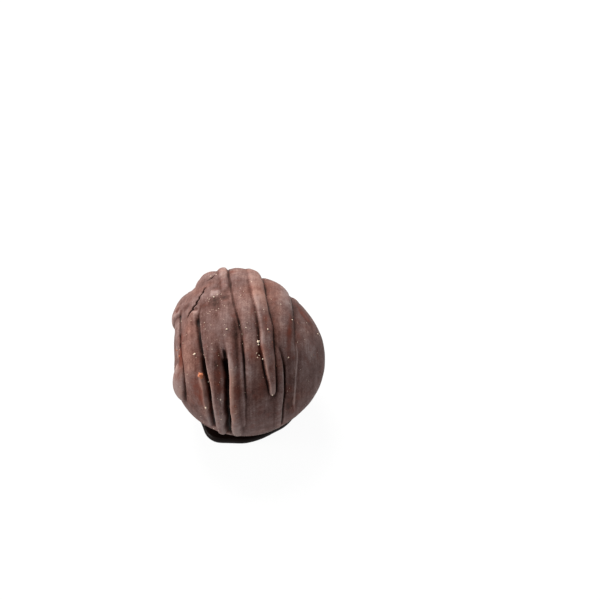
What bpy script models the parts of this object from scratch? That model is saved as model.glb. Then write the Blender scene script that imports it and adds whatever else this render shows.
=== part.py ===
"""A dark-chocolate protein ball with a drizzle over its top, standing in the foot of chocolate that
pooled and set under it. Shell, drizzle and foot set together, so the object is one closed solid.

Units are metres in the scene and millimetres and degrees in the values below. +Z is up and the
front of the ball faces -Y. A place on the ball is given by two angles: ACROSS is how far it lies to
the left (-) or right (+) of the middle, and ROUND is how far it lies from the crown (0) down the
front (+) or down the back (-). The strands of drizzle run round, side by side across.
"""

from collections import namedtuple

import bmesh
import bpy
import numpy as np
from mathutils import Matrix, Vector, noise

MM = 0.001

# The ball
BALL_RADIUS = 19.6  # the dipped ball before its drizzle
CENTRE_HEIGHT = 17.8  # less than the radius, because the ball settled into its foot
SUNK_TO = 0.4  # the ball's underside lies inside the foot
RINGS = 100  # mesh lines across, where the strands need the detail
SEGMENTS = 46  # steps round

# The foot
FOOT_RADIUS = 13.4
FOOT_HEIGHT = 1.9
FOOT_SEGMENTS = 72
FOOT_ROUNDING = 0.75
FOOT_ROUNDING_STEPS = 3
SHARP_ANGLE = 60  # degrees between faces, above which the foot's edges are rounded

# Unevenness of the dipped shell
LUMP_SIZE = 9.0
LUMP_HEIGHT = 0.2

# The drizzle
MELT = 5.0  # strands that meet melt into each other: a low number rounds the join off
TIP_LENGTH = 8.0  # degrees over which the end of a groove rounds off
TIP_WIDTH = 0.35  # how wide the very end of a strand is, as a share of its width
SOFT_FLANK_TOP = 2.0  # exponents of the curve from a ridge down: a soft flank fades out,
STEEP_FLANK_TOP = 3.5  # a steep one stays level for longer
SOFT_FLANK_DROP = 1.4
STEEP_FLANK_DROP = 0.5  # and then drops like the side of a bead
POLE = 90.0  # degrees across at which the lines around the ball come together
LEAST_REACH = 0.1  # the narrowest flank, which keeps a strand from folding up

Swell = namedtuple("Swell", "across round_ spread height")
Strand = namedtuple("Strand", "route steep tips")
Groove = namedtuple("Groove", "route half_width depth")
Guide = namedtuple("Guide", "share route")

# Broad rises and hollows of the ball: where, how wide in degrees, how high.
SWELLS = (
    Swell(-30, -52, 26, 1.5),  # thick chocolate at the back of the crown
    Swell(-2, -48, 20, 0.7),
    Swell(24, -47, 16, -1.0),
    Swell(55, -45, 30, -0.9),  # flatter shoulder
    Swell(85, 50, 38, 0.4),
    Swell(0, 130, 30, 0.3),  # the shell sagged towards the foot
    Swell(-38, 130, 26, 0.4),
    Swell(-58, 84, 18, 0.6),
    Swell(-62, 38, 16, -0.5),
    Swell(-88, 30, 32, -1.8),  # flatter left side
    Swell(-62, -30, 24, 0.3),
    Swell(20, -130, 45, -0.4),
)

# Strands of drizzle. Each stop of a route is (round, across of the ridge, reach of the left flank,
# reach of the right flank, height), the last three in mm. steep gives the two flanks, from 0 for a
# slope to 1 for a wall. tips gives the degrees over which a strand rounds off at its two ends.
STRANDS = (
    Strand(  # the sheet of chocolate that the strands melted into around the crown
        ((-100, -14, 7.0, 7.0, 0.7), (-60, -14, 7.5, 7.5, 1.1), (-20, -14, 7.5, 8.9, 1.15),
         (0, -13, 7.8, 9.6, 1.1), (14, -9, 9.0, 9.0, 0.95), (28, -6, 8.5, 6.6, 0.65),
         (45, -3, 7.6, 6.0, 0.0)),
        steep=(0.8, 0.8), tips=(20, 4)),
    Strand(  # a thick lobe over the left shoulder
        ((-135, -66, 1.5, 1.5, 0.9), (-80, -61, 2.6, 3.4, 1.4), (-45, -56, 3.6, 5.6, 1.55),
         (-22, -56.5, 3.5, 5.7, 1.6), (-9, -56.5, 3.2, 5.6, 1.5)),
        steep=(0.7, 0.45), tips=(14, 8)),
    Strand(  # a lump of chocolate on the crown beside it
        ((-128, -40, 1.5, 1.6, 0.9), (-80, -32, 2.2, 2.4, 1.25), (-46, -25.5, 2.5, 3.0, 1.65),
         (-24, -24, 2.6, 3.0, 1.1)),
        steep=(0.35, 0.3), tips=(14, 16)),
    Strand(  # the slope between the lobe and the crown, where the layers cracked apart
        ((-40, -36, 2.6, 2.6, 1.0), (-20, -36.5, 3.2, 3.2, 1.3), (-6, -37, 3.2, 3.2, 1.38),
         (6, -38, 3.0, 2.4, 1.38), (18, -39, 2.4, 1.8, 1.2)),
        steep=(0.4, 0.5), tips=(16, 14)),
    Strand(  # a strand that comes out from under the lobe
        ((-20, -57, 1.6, 1.5, 0.9), (13, -57.5, 1.8, 2.4, 1.15), (31, -57, 1.9, 2.7, 1.2),
         (44, -54.5, 1.2, 2.6, 1.1), (58, -52, 0.9, 2.2, 0.8)),
        steep=(0.7, 0.6), tips=(8, 14)),
    Strand(  # the bulge where it ends, low on the left
        ((46, -54, 0.6, 2.7, 0.6), (55, -54, 1.9, 3.0, 1.1), (68, -54, 3.0, 3.3, 1.4),
         (88, -54, 3.0, 3.1, 1.4), (102, -54, 2.2, 2.5, 0.95)),
        steep=(0.6, 0.7), tips=(10, 10)),
    Strand(  # the second strand from under the lobe
        ((-46, -43, 2.2, 2.2, 0.9), (-20, -42.5, 3.0, 2.9, 1.2), (0, -42, 3.6, 2.8, 1.35),
         (15, -41.5, 3.9, 3.4, 1.35), (30, -41, 4.2, 3.9, 1.35), (46, -39, 4.4, 4.1, 1.2),
         (58, -36, 4.8, 3.2, 0.8), (72, -31, 5.4, 2.0, 0.2)),
        steep=(0.8, 0.0), tips=(14, 6)),
    Strand(  # its lower half, wide and smooth, which fades out into the shell
        ((34, -41, 3.6, 3.2, 0.7), (52, -38.5, 4.6, 4.1, 1.15), (66, -34.5, 6.0, 3.0, 1.2),
         (80, -30, 7.2, 1.8, 1.0), (98, -29, 7.6, 1.8, 0.6), (118, -28, 7.6, 1.8, 0.1)),
        steep=(0.0, 0.5), tips=(10, 20)),
    Strand(  # the lip along its right edge, which ends in a point
        ((52, -31.6, 1.5, 0.9, 1.1), (59, -30.0, 1.7, 0.8, 1.33), (70, -27.9, 1.8, 0.75, 1.38),
         (80, -26.6, 1.5, 0.65, 1.35), (89, -25.9, 0.9, 0.5, 1.1)),
        steep=(0.0, 0.7), tips=(9, 4)),
    Strand(  # the layer that crept forward from the crown
        ((-66, -27, 3.4, 3.0, 1.2), (-30, -26, 4.0, 4.6, 1.5), (-12, -25, 3.6, 5.0, 1.55),
         (4, -24, 3.2, 5.0, 1.5)),
        steep=(0.45, 0.4), tips=(20, 8)),
    Strand(  # a low step across it, where it met the next pour
        ((-14, -20, 1.6, 1.7, 1.5), (-6, -19.5, 1.8, 1.9, 1.8), (-1, -19.5, 1.6, 1.7, 1.72)),
        steep=(0.6, 0.6), tips=(8, 3)),
    Strand(  # a narrow strand along its right edge
        ((-118, -24, 1.1, 1.1, 0.8), (-75, -18, 1.4, 1.3, 1.3), (-42, -14.5, 1.6, 1.2, 1.8),
         (-25, -13.5, 1.5, 1.1, 1.65), (-6, -12.5, 1.2, 1.0, 1.5)),
        steep=(0.6, 0.7), tips=(10, 8)),
    Strand(  # left of two strands that ran together and part into tines
        ((-40, -25, 2.4, 3.0, 0.6), (-6, -25.5, 2.5, 3.2, 0.9), (7, -26, 2.6, 3.4, 1.35),
         (20, -25.5, 2.6, 3.8, 1.4), (40, -23.6, 2.2, 3.6, 1.4), (60, -20.4, 1.7, 2.8, 1.4),
         (85, -18.2, 1.5, 2.1, 1.3), (105, -17.2, 1.3, 1.8, 1.05), (122, -16.2, 1.1, 1.5, 0.8)),
        steep=(0.8, 0.15), tips=(8, 8)),
    Strand(  # right of the two
        ((-40, -14, 2.6, 1.2, 0.6), (-6, -12.8, 2.7, 1.6, 1.0), (8, -12, 2.8, 2.0, 1.35),
         (22, -9.6, 2.4, 2.1, 1.35), (40, -7.8, 1.2, 2.0, 1.35), (60, -7.1, 1.05, 2.0, 1.35),
         (85, -6.5, 1.05, 1.9, 1.3), (122, -5.8, 1.0, 1.7, 0.7)),
        steep=(0.85, 0.2), tips=(8, 12)),
    Strand(  # what fills the gap between them above the slot
        ((-40, -19, 3.4, 3.4, 0.5), (-6, -18.5, 3.4, 3.4, 0.8), (9, -18, 3.6, 3.6, 1.35),
         (28, -15.5, 3.2, 3.0, 1.3), (37, -13.5, 2.4, 2.2, 0.9), (46, -12, 1.6, 1.6, 0.3)),
        steep=(0.5, 0.5), tips=(8, 4)),
    Strand(  # a low lip along the right tine
        ((20, -3.4, 1.8, 0.8, 0.6), (45, -1.4, 2.2, 0.7, 0.8), (66, -0.4, 2.2, 0.7, 0.75),
         (104, -0.6, 2.0, 0.6, 0.3)),
        steep=(0.5, 0.7), tips=(12, 12)),
    Strand(  # left half of the broad band over the crown, which melts away into the shell
        ((-138, -12, 1.6, 1.6, 1.0), (-90, -9, 2.3, 2.6, 1.25), (-45, -4, 2.6, 3.4, 1.25),
         (-10, -2.5, 2.0, 3.5, 1.3), (5, 0.2, 2.0, 3.2, 1.3), (20, 2.8, 1.9, 2.8, 1.22),
         (38, 5.8, 1.9, 2.6, 1.1), (52, 7.2, 2.1, 3.1, 0.9), (66, 8, 2.3, 3.6, 0.65),
         (85, 8, 2.4, 4.0, 0.4), (106, 8, 2.4, 4.0, 0.1)),
        steep=(0.85, 0.4), tips=(10, 6)),
    Strand(  # its right half, which tapers to a tip
        ((-120, -1, 1.4, 1.6, 1.0), (-80, 0.5, 1.7, 2.2, 1.35), (-45, 3.5, 1.6, 2.6, 1.52),
         (-10, 7, 1.5, 2.6, 1.62), (8, 10.2, 1.3, 2.6, 1.6), (20, 12.2, 1.15, 2.75, 1.6),
         (38, 14.6, 1.0, 2.5, 1.5), (57, 17.9, 0.85, 1.55, 1.35), (73.5, 19.8, 0.6, 0.9, 1.05)),
        steep=(0.6, 0.9), tips=(10, 5)),
    Strand(  # a wide strand over the right of the crown
        ((-134, 8, 1.4, 1.4, 1.0), (-80, 13, 2.4, 2.4, 1.2), (-45, 20, 3.3, 3.4, 1.15),
         (-25, 24.5, 4.0, 3.2, 1.35), (-5, 28, 4.4, 2.9, 1.4), (8, 29, 3.9, 2.8, 1.35),
         (20, 29.5, 3.4, 2.9, 1.1), (30, 30.5, 3.0, 2.8, 0.8), (40, 32, 2.4, 2.8, 0.55),
         (50, 33, 1.6, 2.8, 0.42), (64, 33, 1.3, 2.6, 0.3), (84, 32, 1.2, 2.4, 0.15)),
        steep=(0.3, 0.5), tips=(10, 14)),
    Strand(  # the thin cord that runs on from it down to the foot
        ((34, 24.5, 1.3, 1.2, 0.4), (44, 25, 1.2, 1.1, 0.55), (56, 25.9, 1.2, 1.0, 0.72),
         (72, 26, 1.2, 1.0, 0.75), (94, 25, 1.1, 0.9, 0.65), (122, 24, 1.0, 0.8, 0.5)),
        steep=(0.1, 0.6), tips=(16, 10)),
    Strand(  # a fine thread on the right
        ((30, 39.7, 0.35, 0.45, 0.2), (45, 40, 0.35, 0.5, 0.38), (62, 38.3, 0.35, 0.5, 0.42),
         (78, 37, 0.35, 0.5, 0.42), (104, 38, 0.35, 0.4, 0.2)),
        steep=(0.8, 0.2), tips=(12, 12)),
    Strand(  # two that cross the back
        ((-112, 26, 1.1, 1.1, 0.8), (-80, 29, 1.5, 1.5, 1.1), (-56, 31, 1.3, 1.3, 0.9)),
        steep=(0.7, 0.7), tips=(10, 10)),
    Strand(
        ((-126, 48, 1.0, 1.0, 0.7), (-95, 45, 1.4, 1.4, 0.9), (-62, 38, 1.2, 1.2, 0.8)),
        steep=(0.7, 0.7), tips=(10, 10)),
)

# Grooves that reach below the shell: stops are (round, across).
GROOVES = (
    Groove(((-9, -51.5), (13, -52.7), (30, -52), (47, -48.2), (58, -46.2), (92, -45.6)), 0.25, 0.35),
    Groove(((6, -34.6), (20, -33.2), (38, -30.4), (54, -27.4)), 0.6, 0.35),
    Groove(((44, -29.3), (54, -27.4), (71, -24.7), (90, -22.9), (114, -22)), 0.75, 0.9),
    Groove(((38, -12.6), (48, -12.3), (62, -12)), 0.35, 0.8),
    Groove(((45, -12.3), (58, -12), (84, -11.8), (122, -12.2)), 0.7, 1.3),
    Groove(((36, 25.9), (42, 27.4), (47, 28.4), (54, 29.3), (62, 29.5)), 0.34, 0.25),
    Groove(((50, 28.8), (58, 29.4), (70, 29.6), (88, 28.4), (118, 27)), 0.36, 0.6),
    Groove(((36, 10.9), (43, 13), (59, 15.9), (73, 18.2)), 0.3, 0.2),
    Groove(((-70, -13.5), (-40, -11.5), (-10, -8.7), (12, -5), (26, -2.4)), 0.25, 0.22),
    Groove(((12, -5), (31, -1.3), (50, 0.8), (74, 1.4)), 0.28, 0.14),
)

# Guides for the mesh, which runs along the grooves so that its edges shape the strands cleanly.
# share is how many of each hundred mesh lines lie left of the guide; stops are (round, across).
GUIDES = (
    Guide(8, ((-135, -68), (135, -68))),
    Guide(17, ((-135, -60), (-80, -54), (-45, -50), (-14, -52), (13, -52.7), (30, -52), (47, -48.2),
               (58, -46.2), (92, -45.6), (135, -45.6))),
    Guide(30, ((-128, -47), (-80, -41), (-46, -36), (-20, -35.6), (6, -34.6), (20, -33.2), (38, -30.5),
               (54, -27.4), (71, -24.7), (90, -22.9), (114, -22), (135, -22))),
    Guide(43, ((-118, -30), (-75, -26), (-42, -22), (-6, -19), (15, -17.5), (28, -15), (38, -12.5),
               (53, -11.9), (84, -11.8), (122, -12.2), (135, -12.2))),
    Guide(51, ((-138, -17), (-90, -15), (-40, -11.5), (-10, -8.7), (12, -5), (31, -1.3), (50, 0.8),
               (74, 1.4), (96, 0.6), (135, 0.6))),
    Guide(60, ((-120, -4), (-80, -3.4), (-45, -1.6), (-10, 3), (5, 6.3), (26, 9.8), (43, 13),
               (59, 15.7), (73, 18), (110, 17), (135, 17))),
    Guide(68, ((-134, 3), (-80, 6), (-39, 10.8), (-12, 13.9), (5, 17.1), (19, 19.9), (31, 21.4),
               (45, 22.7), (62, 23.9), (80, 23.9), (122, 22), (135, 22))),
    Guide(74, ((-134, 8), (-80, 13), (-45, 18), (-5, 21), (20, 23.5), (34, 25.4), (46, 28.2), (54, 29.3),
               (70, 29.6), (88, 28.4), (118, 27), (135, 27))),
    Guide(82, ((-134, 14), (-80, 20), (-45, 29), (-5, 36), (9, 37.5), (33, 39.5), (62, 38.3), (78, 37),
               (104, 38), (135, 38))),
)

# Lobes of the foot: compass angle from +X, spread in degrees, how far each reaches out in mm.
FOOT_LOBES = (
    (236, 18, 2.3),
    (266, 12, 0.5),
    (304, 18, -0.8),
    (335, 16, -0.3),
    (20, 28, 0.7),
    (108, 24, 1.3),
    (165, 22, -0.9),
)

CHOCOLATE = (0.115, 0.069, 0.061, 1.0)
CHOCOLATE_ROUGHNESS = 0.5


def smooth_line(stops, column, at):
    """A smooth line through one column of a route's stops, read at the given angles round."""
    knots = np.array([stop[0] for stop in stops], float)
    values = np.array([stop[column] for stop in stops], float)
    slopes = np.gradient(values, knots)
    left = np.clip(np.searchsorted(knots, at) - 1, 0, len(knots) - 2)
    span = knots[left + 1] - knots[left]
    t = np.clip((at - knots[left]) / span, 0.0, 1.0)
    rise = values[left] * (1 + 2 * t) * (1 - t) ** 2 + values[left + 1] * t**2 * (3 - 2 * t)
    return rise + span * (slopes[left] * t * (1 - t) ** 2 - slopes[left + 1] * t**2 * (1 - t))


def tip_shape(stops, round_, lengths):
    """1 along a route, rounding down to 0 over the given lengths at its start and its end."""
    inside = np.minimum((round_ - stops[0][0]) / lengths[0], (stops[-1][0] - round_) / lengths[1])
    inside = np.clip(inside, 0.0, 1.0)
    return np.sqrt(inside * (2.0 - inside))


def flank(t, steep):
    """How high a flank stands from its ridge (t = 0) to its edge (t = 1)."""
    level_top = SOFT_FLANK_TOP + (STEEP_FLANK_TOP - SOFT_FLANK_TOP) * steep
    drop = SOFT_FLANK_DROP + (STEEP_FLANK_DROP - SOFT_FLANK_DROP) * steep
    return (1.0 - t ** level_top) ** drop


def strand_height(strand, across, round_):
    """How far one strand of drizzle stands out at each place, in mm."""
    tip = tip_shape(strand.route, round_, strand.tips)
    narrowing = TIP_WIDTH + (1.0 - TIP_WIDTH) * tip
    offset = np.radians(across - smooth_line(strand.route, 1, round_)) * BALL_RADIUS
    on_left = offset < 0
    reach = np.where(on_left, smooth_line(strand.route, 2, round_), smooth_line(strand.route, 3, round_))
    t = np.clip(np.abs(offset) / (np.maximum(reach, LEAST_REACH) * narrowing), 0.0, 1.0)
    profile = np.where(on_left, flank(t, strand.steep[0]), flank(t, strand.steep[1]))
    return np.maximum(smooth_line(strand.route, 4, round_), 0.0) * tip * profile


def groove_depth(groove, across, round_):
    """How deep one groove cuts at each place, in mm."""
    offset = np.radians(across - smooth_line(groove.route, 1, round_)) * BALL_RADIUS
    tip = tip_shape(groove.route, round_, (TIP_LENGTH, TIP_LENGTH))
    return groove.depth * tip * np.exp(-((offset / groove.half_width) ** 4))


def direction(across, round_):
    """The unit vector from the ball's centre through a place on it."""
    a = np.radians(across)
    b = np.radians(round_)
    return np.stack((np.sin(a), -np.cos(a) * np.sin(b), np.cos(a) * np.cos(b)), axis=-1)


def surface_radius(directions):
    """The distance from the ball's centre to its surface in each direction, in mm."""
    across, round_ = angles(directions)
    radius = np.full(len(directions), BALL_RADIUS)
    for swell in SWELLS:
        towards = direction(swell.across, swell.round_)
        away = np.degrees(np.arccos(np.clip(directions @ towards, -1.0, 1.0)))
        radius += swell.height * np.exp(-((away / swell.spread) ** 2))
    scale = BALL_RADIUS / LUMP_SIZE
    radius += LUMP_HEIGHT * np.array([noise.noise(Vector(d) * scale) for d in directions])
    drizzle = np.zeros(len(directions))
    for strand in STRANDS:
        drizzle += strand_height(strand, across, round_) ** MELT
    drizzle **= 1.0 / MELT
    for groove in GROOVES:
        drizzle -= groove_depth(groove, across, round_)
    return radius + drizzle


def guide_across(route, round_):
    """Where a guide runs: along its stops, then straight under the ball from the last to the first."""
    start, end = route[0][0], route[-1][0]
    t = np.where(round_ > end, round_ - end, round_ + 360.0 - end) / (start + 360.0 - end)
    under = route[-1][1] + (route[0][1] - route[-1][1]) * t
    return np.where((round_ < start) | (round_ > end), under, smooth_line(route, 1, round_))


def along_the_strands(across, round_):
    """Slide evenly spread mesh lines sideways so that they run along the guides."""
    share = 100.0 * (across + POLE) / (2.0 * POLE)
    shares = [0.0] + [guide.share for guide in GUIDES] + [100.0]
    lines = [np.full(len(share), -POLE)]
    for guide in GUIDES:
        lines.append(guide_across(guide.route, round_))
    lines.append(np.full(len(share), POLE))
    slid = np.zeros(len(share))
    for number in range(len(shares) - 1):
        width = shares[number + 1] - shares[number]
        t = (share - shares[number]) / width
        between = (1.0 - t) * lines[number] + t * lines[number + 1]
        slid = np.where((share >= shares[number]) & (share <= shares[number + 1]), between, slid)
    return slid


def angles(directions):
    """The two angles, across and round, of unit vectors from the ball's centre."""
    across = np.degrees(np.arcsin(np.clip(directions[:, 0], -1.0, 1.0)))
    round_ = np.degrees(np.arctan2(-directions[:, 1], directions[:, 2]))
    return across, round_


def chocolate():
    """Set dark chocolate, for every part of the ball."""
    material = bpy.data.materials.new("dark_chocolate")
    material.use_nodes = True
    shader = material.node_tree.nodes["Principled BSDF"]
    shader.inputs["Base Color"].default_value = CHOCOLATE
    shader.inputs["Roughness"].default_value = CHOCOLATE_ROUGHNESS
    shader.inputs["Metallic"].default_value = 0.0
    return material


def new_object(name, bm, collection):
    """An object from a finished bmesh, in its collection."""
    mesh = bpy.data.meshes.new(name)
    bm.to_mesh(mesh)
    bm.free()
    made = bpy.data.objects.new(name, mesh)
    collection.objects.link(made)
    return made


def make_ball(collection):
    """The dipped ball with its drizzle: a sphere with its poles left and right, moved to the surface."""
    bm = bmesh.new()
    bmesh.ops.create_uvsphere(bm, u_segments=SEGMENTS, v_segments=RINGS, radius=1.0)
    bmesh.ops.rotate(bm, verts=bm.verts, matrix=Matrix.Rotation(np.radians(90), 3, "Y"))
    directions = np.array([vert.co.normalized() for vert in bm.verts])
    across, round_ = angles(directions)
    directions = direction(along_the_strands(across, round_), round_)
    points = directions * surface_radius(directions)[:, None]
    points[:, 2] = np.maximum(points[:, 2] + CENTRE_HEIGHT, SUNK_TO)
    middle = (points.min(axis=0) + points.max(axis=0)) / 2
    points -= (middle[0], middle[1], 0.0)
    for vert, point in zip(bm.verts, points):
        vert.co = point * MM
    bmesh.ops.recalc_face_normals(bm, faces=bm.faces)
    return new_object("protein_ball", bm, collection), middle


def foot_radius(compass):
    """The foot's uneven outline: its radius towards a compass angle in degrees, in mm."""
    reach = FOOT_RADIUS
    for lobe, spread, height in FOOT_LOBES:
        turn = (compass - lobe + 180.0) % 360.0 - 180.0
        reach += height * np.exp(-((turn / spread) ** 2))
    return reach


def make_foot(collection, middle):
    """The pooled chocolate: a low disc with an uneven outline and rounded rims."""
    bm = bmesh.new()
    bmesh.ops.create_cone(
        bm, cap_ends=True, segments=FOOT_SEGMENTS, radius1=1.0, radius2=1.0, depth=FOOT_HEIGHT * MM
    )
    for vert in bm.verts:
        compass = np.degrees(np.arctan2(vert.co.y, vert.co.x))
        reach = foot_radius(compass) * MM
        vert.co.x = vert.co.x * reach - middle[0] * MM
        vert.co.y = vert.co.y * reach - middle[1] * MM
        vert.co.z += FOOT_HEIGHT * MM / 2
    foot = new_object("foot_shape", bm, collection)
    foot.hide_render = True
    foot.display_type = "WIRE"
    rim = foot.modifiers.new("rounded rims", "BEVEL")
    rim.width = FOOT_ROUNDING * MM
    rim.segments = FOOT_ROUNDING_STEPS
    rim.limit_method = "ANGLE"
    rim.angle_limit = np.radians(SHARP_ANGLE)
    return foot


def main():
    for old in list(bpy.data.objects):
        bpy.data.objects.remove(old, do_unlink=True)
    collection = bpy.data.collections.new("protein_ball")
    shapes = bpy.data.collections.new("cutters")
    bpy.context.scene.collection.children.link(collection)
    bpy.context.scene.collection.children.link(shapes)

    ball, middle = make_ball(collection)
    foot = make_foot(shapes, middle)
    ball.data.materials.append(chocolate())
    set_together = ball.modifiers.new("set together with the foot", "BOOLEAN")
    set_together.operation = "UNION"
    set_together.solver = "EXACT"
    set_together.object = foot
    ball.data.shade_smooth()


main()
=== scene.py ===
# %% [markdown]
# # A chocolate-coated protein ball
#
# The real thing is a ball of nut butter, oats and protein powder, rolled by hand, dipped in dark
# chocolate and drizzled with more of it while it stood on a flat sheet. The drizzle melted into the
# warm shell, what ran down pooled into a foot, and it all set as one piece. Cocoa butter then came
# to the surface as a dull grey bloom.
#
# This lesson builds the ball from one formula for its surface, and then gives it its bloom. The
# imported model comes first, because every piece has to sit where that model says.

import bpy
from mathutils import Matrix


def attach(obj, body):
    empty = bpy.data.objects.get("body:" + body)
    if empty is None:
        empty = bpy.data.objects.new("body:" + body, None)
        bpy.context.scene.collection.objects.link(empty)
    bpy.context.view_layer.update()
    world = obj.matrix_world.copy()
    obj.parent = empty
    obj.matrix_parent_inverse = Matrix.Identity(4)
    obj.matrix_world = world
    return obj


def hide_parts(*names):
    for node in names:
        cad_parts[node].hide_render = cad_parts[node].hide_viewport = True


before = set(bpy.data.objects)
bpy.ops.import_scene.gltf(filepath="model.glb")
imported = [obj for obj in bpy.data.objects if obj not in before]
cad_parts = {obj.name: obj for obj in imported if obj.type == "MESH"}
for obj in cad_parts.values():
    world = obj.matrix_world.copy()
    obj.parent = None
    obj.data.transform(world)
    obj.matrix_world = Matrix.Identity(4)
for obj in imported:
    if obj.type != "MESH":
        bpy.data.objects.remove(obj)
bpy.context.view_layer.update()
print("nodes in the frame:", sorted(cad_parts))

# %% Other modules
import math
from collections import namedtuple

import bmesh
import bpy
import numpy as np
from mathutils import Matrix, Vector, noise

MM = 0.001  # one millimetre in metres, Blender's unit

# %% [markdown]
# ## Places on the ball
#
# The strands run from the back over the crown to the front, side by side. So a place on the ball is
# given by two angles: ACROSS, how far it lies left (-) or right (+) of the middle, and ROUND, how
# far it lies from the crown (0) down the front (+) or down the back (-). A strand then changes
# little across while it runs round, and a few stops describe it.

# %% Angles to directions and back
BALL_RADIUS = 19.6  # mm, the dipped ball before its drizzle
CENTRE_HEIGHT = 17.8  # mm, less than the radius, because the ball settled into its foot
SUNK_TO = 0.4  # mm above the sheet, the ball's flat underside inside the foot


def direction(across, round_):
    """The unit vector from the ball's centre through a place on it."""
    a = np.radians(across)
    b = np.radians(round_)
    return np.stack((np.sin(a), -np.cos(a) * np.sin(b), np.cos(a) * np.cos(b)), axis=-1)


def angles(directions):
    """The two angles, across and round, of unit vectors from the ball's centre."""
    across = np.degrees(np.arcsin(np.clip(directions[:, 0], -1.0, 1.0)))
    round_ = np.degrees(np.arctan2(-directions[:, 1], directions[:, 2]))
    return across, round_


print("the crown points towards", direction(0.0, 0.0))

# %% [markdown]
# ## The dipped shell
#
# A rolled ball is never round: it sags on its foot, and thick chocolate gathers here and there. The
# real thing could be sculpted by hand, but a few broad, soft swells added to the radius do the same
# and stay easy to change.

# %% Swells of the shell
# A swell's place and spread are in degrees, and its height is in mm.
Swell = namedtuple("Swell", "across round_ spread height")

SWELLS = (
    Swell(-30, -52, 26, 1.5),  # thick chocolate at the back of the crown
    Swell(-2, -48, 20, 0.7),
    Swell(24, -47, 16, -1.0),
    Swell(55, -45, 30, -0.9),  # flatter shoulder
    Swell(85, 50, 38, 0.4),
    Swell(0, 130, 30, 0.3),  # the shell sagged towards the foot
    Swell(-38, 130, 26, 0.4),
    Swell(-58, 84, 18, 0.6),
    Swell(-62, 38, 16, -0.5),
    Swell(-88, 30, 32, -1.8),  # flatter left side
    Swell(-62, -30, 24, 0.3),
    Swell(20, -130, 45, -0.4),
)

print(len(SWELLS), "swells")

# %% [markdown]
# ## The drizzle
#
# Each strand is a ridge that follows a route. At every stop of the route the strand says where its
# ridge lies, how far its left and its right flank reach, and how high it stands. Melted chocolate
# has rounded flanks where it spread and steep ones where it set against a strand beside it, so each
# flank also has a steepness. Curves with a bevel would give tubes that lie on the ball: a height
# added to the shell gives strands that belong to it.

# %% Strands of drizzle
Strand = namedtuple("Strand", "route steep tips")

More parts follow.
